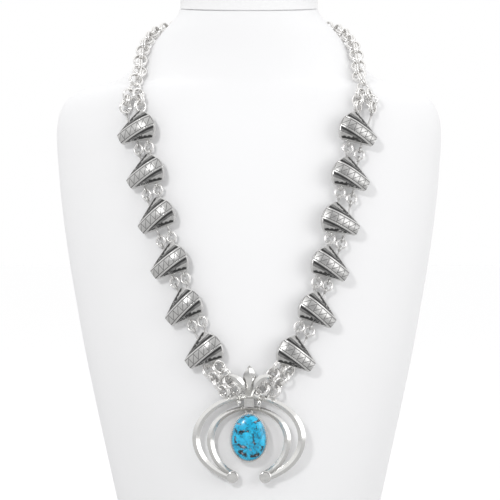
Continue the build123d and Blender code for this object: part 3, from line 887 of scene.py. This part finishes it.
@dataclass
class Blossom:
    """One blossom: its stamped front over the back, eyes and hollow of its CAD shape."""

    side: Side
    number: int
    shape: BlossomShape
    stamp: BlossomStamp
    along: int = 132
    across: int = 124
    wall_steps: int = 3
    wall_dark: float = 0.04
    back_dark: float = 0.05
    back_height: float = 0.03
    hollow_depth: float = 0.45
    hollow_inset: float = 0.35
    outside: float = 0.1
    sharp_angle: float = 50.0

    @property
    def node(self) -> str:
        """Name of the CAD node."""
        return f"{self.side.value}_blossom_{self.number}"

    def plane(self, cad: CadMesh) -> Matrix:
        """Finds the blossom's own plane from the flat back of its CAD shape.

        Args:
            cad: the blossom's CAD triangles.

        Returns:
            The placement of the blossom's plane, in metres.
        """
        back, chosen = cad.flat_back()
        points = cad.points[np.unique(cad.faces[chosen])]
        middle = points.mean(axis=0)
        first = np.array([1.0, 0.0, 0.0]) - back * back[0]
        first /= np.linalg.norm(first)
        second = np.cross(-back, first)
        flat = np.column_stack(((points - middle) @ first, (points - middle) @ second)) / MM
        turns = np.radians(np.arange(0, 360, 2.0))
        best = min(turns, key=lambda angle: self.misfit(flat, angle))
        for fine in (0.4, 0.08, 0.016):
            turns = best + np.radians(np.arange(-6, 7) * fine)
            best = min(turns, key=lambda angle: self.misfit(flat, angle))
        x_dir = first * math.cos(best) + second * math.sin(best)
        y_dir = np.cross(-back, x_dir)
        x_all, y_all = (points - middle) @ x_dir, (points - middle) @ y_dir
        origin = middle + x_dir * (x_all.min() - self.shape.narrow_x * MM) + y_dir * (y_all.min() + y_all.max()) / 2
        return placement(Vector(x_dir), Vector(y_dir), Vector(-back), Vector(origin))

    def misfit(self, flat: Array, angle: float) -> float:
        """How far the back's outline is from the blossom's own, when it is turned by an angle.

        Args:
            flat: the back's points in a plane, in millimetres.
            angle: direction of the wide end.

        Returns:
            Sum of the differences in millimetres.
        """
        x = flat[:, 0] * math.cos(angle) + flat[:, 1] * math.sin(angle)
        y = -flat[:, 0] * math.sin(angle) + flat[:, 1] * math.cos(angle)
        x = x - x.min() + self.shape.narrow_x
        y = y - (y.min() + y.max()) / 2
        ends = y[x < self.shape.narrow_x + 0.3]
        length = abs(x.max() - self.shape.bow_radius)
        corners = abs(ends.min() + self.shape.narrow_half) + abs(ends.max() - self.shape.narrow_half)
        outside = np.maximum(-self.shape.edge_distance(x, y), 0).sum()
        return float(length + corners + outside)

    def front(self, seed: int) -> tuple[Array, list[tuple[int, ...]], Array]:
        """Builds the stamped front with its side walls, in the blossom's plane.

        Args:
            seed: fixed seed of the stipple.

        Returns:
            Points in millimetres, faces, and how dark each point is.
        """
        wide = self.shape.bow(self.across)
        narrow = self.shape.narrow_end(self.across)
        share = np.linspace(0, 1, self.along)[:, None, None]
        plan = narrow[None] * (1 - share) + wide[None] * share
        x, y = plan[..., 0], plan[..., 1]
        dark, raised = self.stamp.pattern(x, y, seed)
        z = self.shape.dome(x, y) + raised
        points = np.column_stack((x.ravel(), y.ravel(), z.ravel()))
        index = np.arange(self.along * self.across).reshape(self.along, self.across)
        faces = [
            (index[i, j], index[i + 1, j], index[i + 1, j + 1], index[i, j + 1])
            for i in range(self.along - 1)
            for j in range(self.across - 1)
        ]
        loop = np.concatenate((index[0, ::-1], index[1:, 0], index[-1, 1:], index[-2:0:-1, -1]))
        darkness = [dark.ravel()]
        above = loop
        for level in range(1, self.wall_steps + 1):
            ring = points[loop].copy()
            ring[:, 2] *= 1 - level / self.wall_steps
            start = sum(len(part) for part in darkness)
            below = np.arange(start, start + len(loop))
            points = np.vstack((points, ring))
            darkness.append(np.full(len(loop), self.wall_dark))
            for k in range(len(loop)):
                n = (k + 1) % len(loop)
                faces.append((above[n], above[k], below[k], below[n]))
            above = below
        return points, faces, np.concatenate(darkness)

    def build(self, silver: Material, seed: int) -> bpy.types.Object:
        """Builds the piece and replaces its CAD node.

        Args:
            silver: the stamped silver.
            seed: fixed seed of the stipple.

        Returns:
            The new piece.
        """
        cad = CadMesh.of(bpy.data.objects[self.node])
        plane = self.plane(cad)
        inverse = np.array(plane.inverted())
        local = (cad.points @ inverse[:3, :3].T + inverse[:3, 3]) / MM
        middles = local[cad.faces].mean(axis=1)
        highest = local[cad.faces][:, :, 2].max(axis=1)
        edge = self.shape.edge_distance(middles[:, 0], middles[:, 1])
        below = middles[:, 2] < self.shape.dome(middles[:, 0], middles[:, 1]) - self.hollow_depth
        from_end = middles[:, 0] - self.shape.narrow_x
        hollow = below & (edge > self.hollow_inset) & (from_end > self.hollow_inset)
        beside = (edge < -self.outside) | (from_end < -self.outside)
        kept = cad.faces[(highest < self.back_height) | hollow | beside]
        used, renumbered = np.unique(kept, return_inverse=True)
        front, faces, dark = self.front(seed)
        start = len(front)
        points = np.vstack((front, local[used]))
        faces = faces + (renumbered.reshape(-1, 3) + start).tolist()
        placed = np.array(plane)
        points = (points * MM) @ placed[:3, :3].T + placed[:3, 3]
        piece = placed_mesh(f"{self.node}_stamped", points, faces, [silver])
        attribute = piece.data.attributes.new(STAMP_ATTRIBUTE, "FLOAT", "POINT")
        attribute.data.foreach_set("value", np.concatenate((dark, np.full(len(used), self.back_dark))))
        piece.data.shade_smooth()
        piece.data.set_sharp_from_angle(angle=math.radians(self.sharp_angle))
        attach(piece, "root")
        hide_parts(self.node)
        log.info("%s: %d faces", piece.name, len(faces))
        return piece


# ---------------------------------------------------------------- chains


@dataclass(frozen=True)
class ChainPlan:
    """How the rings of one chain stand: reaches from the middles of the CAD end rings, and their count."""

    node: str
    before: float
    after: float
    count: int


class RingTree:
    """Geometry Nodes that put a pair of round rings at every point of a mesh, turned as its attribute says."""

    NAME = "chain_of_rings"
    RING_SIDES = 32
    WIRE_SIDES = 10
    SPACING = 2.1

    @classmethod
    def build(cls, silver: Material) -> bpy.types.GeometryNodeTree:
        """Builds the node tree once.

        Args:
            silver: the rings' material.

        Returns:
            The node tree.
        """
        if cls.NAME in bpy.data.node_groups:
            return bpy.data.node_groups[cls.NAME]
        tree = bpy.data.node_groups.new(cls.NAME, "GeometryNodeTree")
        tree.interface.new_socket("Places", in_out="INPUT", socket_type="NodeSocketGeometry")
        for name in ("Ring Radius", "Wire Radius"):
            tree.interface.new_socket(name, in_out="INPUT", socket_type="NodeSocketFloat")
        tree.interface.new_socket("Chain", in_out="OUTPUT", socket_type="NodeSocketGeometry")
        given = add(tree, "NodeGroupInput").outputs
        wire = given["Wire Radius"]
        circle = "GeometryNodeCurvePrimitiveCircle"
        loop = add(tree, circle, {"Resolution": cls.RING_SIDES, "Radius": given["Ring Radius"]})
        section = add(tree, circle, {"Resolution": cls.WIRE_SIDES, "Radius": wire})
        curves = {"Curve": loop.outputs["Curve"], "Profile Curve": section.outputs["Curve"]}
        ring = add(tree, "GeometryNodeCurveToMesh", curves)
        start, apart = (
            add(tree, "ShaderNodeCombineXYZ", {"Z": math_node(tree, "MULTIPLY", wire, share)}).outputs[0]
            for share in (-cls.SPACING / 2, cls.SPACING)
        )
        twin = add(tree, "GeometryNodeMeshLine", {"Count": 2, "Start Location": start, "Offset": apart})
        pair = add(tree, "GeometryNodeInstanceOnPoints", {"Points": twin.outputs[0], "Instance": ring.outputs[0]})
        turn = add(tree, "GeometryNodeInputNamedAttribute", {"Name": TURN_ATTRIBUTE}, data_type="FLOAT_VECTOR")
        rotation = add(tree, "FunctionNodeEulerToRotation", {0: turn.outputs["Attribute"]})
        at = {"Points": given["Places"], "Instance": pair.outputs[0], "Rotation": rotation.outputs[0]}
        finished(tree, add(tree, "GeometryNodeInstanceOnPoints", at).outputs[0], silver)
        return tree


@dataclass
class Chain:
    """One run of heavy chain along the route of its CAD rings."""

    plan: ChainPlan
    skin: BVHTree
    radius_share: float = 0.8
    largest_radius: float = 4.1
    wire: float = 1.3
    height: float = 4.4
    lean: float = 45.0
    overrun: float = 8.0

    def middles(self) -> Array:
        """Middles of the CAD rings, in order along the chain."""
        cad = CadMesh.of(bpy.data.objects[self.plan.node])
        _, merged = np.unique(np.round(cad.points / (SAME_POINT * MM)).astype(np.int64), axis=0, return_inverse=True)
        faces = merged.ravel()[cad.faces]
        label = np.arange(faces.max() + 1)
        while True:
            lowest = label[faces].min(axis=1)
            before = label.copy()
            for column in range(3):
                np.minimum.at(label, faces[:, column], lowest)
            label = label[label]
            if np.array_equal(before, label):
                break
        owners = label[faces[:, 0]]
        centres = []
        for owner in np.unique(owners):
            corners = cad.points[cad.faces[owners == owner]].reshape(-1, 3)
            centres.append((corners.min(axis=0) + corners.max(axis=0)) / 2)
        left = [np.array(centre) for centre in centres]
        ends = sorted(left, key=lambda point: -point[2])
        route = [ends[0]]
        left = [point for point in left if point is not ends[0]]
        while left:
            nearest = min(left, key=lambda point: np.linalg.norm(point - route[-1]))
            route.append(nearest)
            left = [point for point in left if point is not nearest]
        return np.array(route)

    def places(self) -> tuple[Array, Array, float]:
        """Middles and turns of the new rings.

        Returns:
            Their middles, their Euler turns, and the spacing between them in metres.
        """
        route = self.middles()
        first, last = route[0] - route[1], route[-1] - route[-2]
        first = route[0] + first / np.linalg.norm(first) * self.overrun * MM
        last = route[-1] + last / np.linalg.norm(last) * self.overrun * MM
        route = np.vstack((first, route, last))
        lengths = np.concatenate(([0], np.cumsum(np.linalg.norm(np.diff(route, axis=0), axis=1))))
        start, end = lengths[1] - self.plan.before * MM, lengths[-2] + self.plan.after * MM
        at = np.linspace(start, end, self.plan.count)
        spots = np.column_stack([np.interp(at, lengths, column) for column in route.T])
        turns = []
        for index, spot in enumerate(spots):
            ahead = spots[min(index + 1, len(spots) - 1)] - spots[max(index - 1, 0)]
            along = Vector(ahead).normalized()
            nearest = self.skin.find_nearest(Vector(spot))[0]
            outward = (Vector(spot) - nearest).normalized()
            spots[index] = nearest + outward * max(self.height * MM, (Vector(spot) - nearest).length)
            outward = (outward - along * outward.dot(along)).normalized()
            across = along.cross(outward)
            angle = math.radians(self.lean if index % 2 else self.lean + 90)
            up = outward * math.cos(angle) + across * math.sin(angle)
            side = up.cross(along)
            turns.append(Matrix((along, side, up)).transposed().to_euler())
        return spots, np.array([tuple(turn) for turn in turns]), float(at[1] - at[0])

    def build(self, silver: Material) -> bpy.types.Object:
        """Builds the chain and replaces its CAD node.

        Args:
            silver: the chain's material.

        Returns:
            The new piece.
        """
        spots, turns, pitch = self.places()
        mesh = bpy.data.meshes.new("chain_places")
        mesh.from_pydata(spots.tolist(), [], [])
        mesh.attributes.new(TURN_ATTRIBUTE, "FLOAT_VECTOR", "POINT").data.foreach_set("vector", turns.ravel())
        radius = min(self.radius_share * pitch, self.largest_radius * MM)
        sizes = {"Ring Radius": radius, "Wire Radius": self.wire / 2 * MM}
        name = f"{self.plan.node}_rings"
        piece = converted(name, mesh, RingTree.build(silver), sizes)
        piece.data.shade_smooth()
        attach(piece, "root")
        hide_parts(self.plan.node)
        log.info("%s: %d rings at %.2f mm", name, len(spots), pitch / MM)
        return piece


# ---------------------------------------------------------------- naja and drop


@dataclass
class Drop:
    """Turquoise drop in the naja: its stone's finish and the sawtooth bezel of its cup."""

    half_width: float = 11.6
    rise: float = 17.0
    fall: float = 13.6
    middle: float = -0.9
    top: float = 16.1
    teeth: int = 76
    tooth_height: float = 1.5
    tooth_lean: float = 1.5
    tooth_width: float = 0.6
    tooth_base: float = 3.9
    tooth_inset: float = 0.1
    tooth_thickness: float = 0.3
    tooth_point: float = 0.16
    tooth_hook: float = 0.12
    path_points: int = 240
    stone_top: float = 7.0
    stone_fall: float = 0.018

    def plane(self) -> Matrix:
        """Placement of the naja's plane, from the flat back of the drop's cup."""
        cad = CadMesh.of(bpy.data.objects["drop_cup"])
        back, chosen = cad.flat_back()
        points = cad.points[np.unique(cad.faces[chosen])]
        z_dir = Vector(-back)
        x_dir = (Vector((1, 0, 0)) - z_dir * z_dir.x).normalized()
        y_dir = z_dir.cross(x_dir)
        middle = Vector(points.mean(axis=0))
        heights = [(Vector(point) - middle).dot(y_dir) for point in points]
        sides = [(Vector(point) - middle).dot(x_dir) for point in points]
        origin = middle + y_dir * (max(heights) - self.top * MM) + x_dir * (min(sides) + max(sides)) / 2
        return placement(x_dir, y_dir, z_dir, origin)

    def egg(self, inset: float, count: int) -> list[tuple[float, float]]:
        """Evenly turned points round the drop's outline, shrunk by an inset."""
        points = []
        for index in range(count):
            angle = 2 * math.pi * index / count
            tall = self.rise if math.sin(angle) >= 0 else self.fall
            points.append(
                ((self.half_width - inset) * math.cos(angle), self.middle + (tall - inset) * math.sin(angle))
            )
        return points

    def tooth(self) -> bpy.types.Object:
        """One pointed tooth that leans inwards over the stone, its base along X and its tip up Z."""
        half, high, lean = self.tooth_width / 2, self.tooth_height, self.tooth_lean
        thick, point, hook = self.tooth_thickness, self.tooth_point / 2, self.tooth_hook
        base = np.array([(-half, 0, 0), (half, 0, 0), (half, thick, 0), (-half, thick, 0)])
        under, low = lean + hook, high - thick
        tip = np.array([(-point, lean, high), (point, lean, high), (point, under, low), (-point, under, low)])
        faces = [(3, 2, 1, 0), (4, 5, 6, 7), (0, 1, 5, 4), (1, 2, 6, 5), (2, 3, 7, 6), (3, 0, 4, 7)]
        return placed_mesh("bezel_tooth", np.vstack((base, tip)) * MM, faces, [])

    def tree(self, tooth: bpy.types.Object, silver: Material) -> bpy.types.GeometryNodeTree:
        """Geometry Nodes that stand a tooth at even steps along a closed path.

        Args:
            tooth: the tooth that is repeated.
            silver: the teeth's material.

        Returns:
            The node tree.
        """
        tree = bpy.data.node_groups.new("sawtooth_bezel", "GeometryNodeTree")
        tree.interface.new_socket("Path", in_out="INPUT", socket_type="NodeSocketGeometry")
        count = tree.interface.new_socket("Teeth", in_out="INPUT", socket_type="NodeSocketInt")
        count.default_value = self.teeth
        tree.interface.new_socket("Bezel", in_out="OUTPUT", socket_type="NodeSocketGeometry")
        given = add(tree, "NodeGroupInput").outputs
        curve = add(tree, "GeometryNodeMeshToCurve", {"Mesh": given["Path"]})
        even = add(tree, "GeometryNodeResampleCurve", {"Curve": curve.outputs[0], "Count": given["Teeth"]})
        tangent = add(tree, "GeometryNodeInputTangent").outputs[0]
        up = add(tree, "GeometryNodeInputNamedAttribute", {"Name": OUTWARD_ATTRIBUTE}, data_type="FLOAT_VECTOR")
        align = "FunctionNodeAlignRotationToVector"
        first = add(tree, align, {"Vector": tangent}, axis="X").outputs[0]
        second = add(tree, align, {"Rotation": first, "Vector": up.outputs[0]}, axis="Z", pivot_axis="X")
        source = add(tree, "GeometryNodeObjectInfo", {"Object": tooth}).outputs["Geometry"]
        at = {"Points": even.outputs[0], "Instance": source, "Rotation": second.outputs[0]}
        finished(tree, add(tree, "GeometryNodeInstanceOnPoints", at).outputs[0], silver)
        return tree

    def bezel(self, plane: Matrix, silver: Material) -> bpy.types.Object:
        """Builds the sawtooth edge of the bezel.

        Args:
            plane: placement of the naja's plane.
            silver: the bezel's material.

        Returns:
            The new piece.
        """
        flat = self.egg(self.tooth_inset, self.path_points)
        points = [plane @ Vector((x * MM, y * MM, self.tooth_base * MM)) for x, y in flat]
        edges = [(k, (k + 1) % len(points)) for k in range(len(points))]
        mesh = bpy.data.meshes.new("bezel_path")
        mesh.from_pydata(points, edges, [])
        outward = mesh.attributes.new(OUTWARD_ATTRIBUTE, "FLOAT_VECTOR", "POINT")
        facing = plane.to_3x3() @ Vector((0, 0, 1))
        outward.data.foreach_set("vector", [*facing] * len(points))
        tooth = self.tooth()
        piece = converted("drop_bezel", mesh, self.tree(tooth, silver), {"Teeth": self.teeth})
        bpy.data.objects.remove(tooth)
        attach(piece, "root")
        log.info("drop_bezel: %d faces", len(piece.data.polygons))
        return piece

    def dress_stone(self, plane: Matrix) -> None:
        """Gives the stone its turquoise, with its blots and specks at their places."""

        def at(x: float, y: float) -> Vector:
            """Point near the stone's surface."""
            height = self.stone_top - self.stone_fall * (x * x + y * y * 0.6)
            return plane @ Vector((x * MM, y * MM, height * MM))

        blots, specks = (
            [(at(x, y), at(u, v), half * MM) for x, y, u, v, half in rows] for rows in (MATRIX_STROKES, SPECK_STROKES)
        )
        dress(bpy.data.objects["turquoise"], Turquoise("sky_blue_turquoise").build(blots, specks))
        log.info("turquoise: dressed")


def dress(piece: bpy.types.Object, material: Material) -> None:
    """Gives every slot of a piece one material."""
    for slot in piece.material_slots:
        slot.material = material


# ---------------------------------------------------------------- stage


@dataclass
class Studio:
    """Pale floor, soft light and the camera of the photograph."""

    camera_distance: float = 1.56
    camera_height: float = 0.201
    camera_side: float = 0.00065
    lens: float = 172.8
    floor_radius: float = 30.0
    floor_height: float = -0.0005
    floor_sides: int = 64
    aim: tuple[float, float, float] = (0.0, -0.05, 0.2)
    above: Colour = (1.08, 1.08, 1.08)
    below: Colour = (0.8, 0.8, 0.81)
    front: Colour = (0.26, 0.26, 0.27)
    seen: Colour = (1.0, 1.0, 1.0)

    def floor(self) -> None:
        """Lays a plain pale floor under the bust."""
        turns = [2 * math.pi * k / self.floor_sides for k in range(self.floor_sides)]
        radius = self.floor_radius
        points = np.array([(radius * math.cos(a), radius * math.sin(a), self.floor_height) for a in turns])
        floor = placed_mesh("floor", points, [tuple(range(len(turns)))], [PaleFloor("pale_floor").build()])

    def camera(self) -> None:
        """Sets the camera level in front of the chest."""
        data = bpy.data.cameras.new("camera")
        data.lens = self.lens
        data.sensor_width = 36.0
        data.clip_end = 50.0
        camera = bpy.data.objects.new("camera", data)
        camera.location = (self.camera_side, -self.camera_distance, self.camera_height)
        camera.rotation_euler = (math.radians(90), 0, 0)
        bpy.context.collection.objects.link(camera)
        bpy.context.scene.camera = camera

    def area(self, name: str, place: tuple[float, float, float], size: float, power: float) -> None:
        """Adds a soft area light that faces the chest.

        Args:
            name: the light's name.
            place: where it stands, in metres.
            size: its side, in metres.
            power: its power in watts.
        """
        data = bpy.data.lights.new(name, "AREA")
        data.energy = power
        data.size = size
        light = bpy.data.objects.new(name, data)
        light.location = place
        ray = Vector(self.aim) - Vector(place)
        light.rotation_euler = ray.to_track_quat("-Z", "Y").to_euler()
        bpy.context.collection.objects.link(light)

    def world(self) -> None:
        """White surroundings, darker below and in front, seen as plain white behind the bust."""
        world = bpy.data.worlds.new("studio")
        bpy.context.scene.world = world
        world.use_nodes = True
        tree = world.node_tree
        tree.nodes.clear()
        place = add(tree, "ShaderNodeTexCoord").outputs["Generated"]
        split = add(tree, "ShaderNodeSeparateXYZ", {0: place}).outputs
        forward = math_node(tree, "MULTIPLY", split[1], -1.0)
        lit = mix_colour(tree, ramp(tree, split[2], 0.05, 0.45), self.below, self.above)
        lit = mix_colour(tree, ramp(tree, forward, 0.5, 0.95), lit, self.front)
        path = add(tree, "ShaderNodeLightPath").outputs["Is Camera Ray"]
        background = add(tree, "ShaderNodeBackground", {0: mix_colour(tree, path, lit, self.seen)})
        add(tree, "ShaderNodeOutputWorld", {0: background.outputs[0]})

    def build(self) -> None:
        """Builds the stage."""
        self.floor()
        self.camera()
        self.world()
        self.area("key", (-0.62, -1.45, 0.88), 0.2, 7.0)
        self.area("fill", (1.35, -0.9, 0.45), 1.0, 5.5)
        bpy.context.scene.view_settings.view_transform = "Standard"
        log.info("stage: floor, camera and lights")


# ---------------------------------------------------------------- main


@dataclass
class Necklace:
    """The whole object: bust, chains, blossoms, naja and drop."""

    nodes: dict[str, bpy.types.Object]

    def dress_bust(self) -> None:
        """Gives the bust its matt white coating."""
        dress(self.nodes["neck_bust"], MattWhite("matt_white").build())
        log.info("neck_bust: dressed")

    def dress_silver(self) -> None:
        """Gives every silver CAD piece that stays its polish."""
        polish = PolishedSilver("polished_silver").build()
        bright = PolishedSilver("ring_silver", colour=(0.88, 0.87, 0.855), smooth=0.2, rough=0.32).build()
        rings = [name for name in self.nodes if "ring" in name or "chain" in name]
        others = ["clasp", "naja", "drop_cup"]
        for name in rings + others:
            dress(self.nodes[name], bright if name in rings else polish)
        log.info("silver: %d pieces dressed", len(rings) + len(others))

    def lay_chains(self) -> None:
        """Lays the ten runs of heavy chain over the bust."""
        silver = PolishedSilver("chain_silver", colour=(0.9, 0.89, 0.875), smooth=0.2, rough=0.32).build()
        bust = CadMesh.of(self.nodes["neck_bust"])
        skin = BVHTree.FromPolygons(bust.points.tolist(), bust.faces.tolist())
        for side in Side:
            plans = [ChainPlan(f"{side.value}_neck_chain", *NECK_RUN)]
            for strand in Strand:
                for run, sizes in STRAND_RUNS.items():
                    plans.append(ChainPlan(f"{side.value}_{strand.value}_{run}", *sizes))
            for plan in plans:
                Chain(plan, skin).build(silver)

    def stamp_blossoms(self) -> None:
        """Stamps the twelve blossoms."""
        silver = StampedSilver("stamped_silver").build()
        shape = BlossomShape()
        stamp = BlossomStamp(shape)
        for side in Side:
            for number in range(1, 7):
                seed = 100 * number + (7 if side is Side.LEFT else 53)
                Blossom(side, number, shape, stamp).build(silver, seed)

    def finish_drop(self) -> None:
        """Dresses the stone and adds its bezel."""
        drop = Drop()
        plane = drop.plane()
        drop.dress_stone(plane)
        drop.bezel(plane, PolishedSilver("bezel_silver", smooth=0.14, rough=0.24).build())


def main() -> None:
    """Builds the looks in order."""
    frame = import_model()
    necklace = Necklace(frame["nodes"])
    necklace.dress_bust()
    necklace.dress_silver()
    necklace.lay_chains()
    necklace.stamp_blossoms()
    necklace.finish_drop()
    Studio().build()


if __name__ == "__main__":
    main()
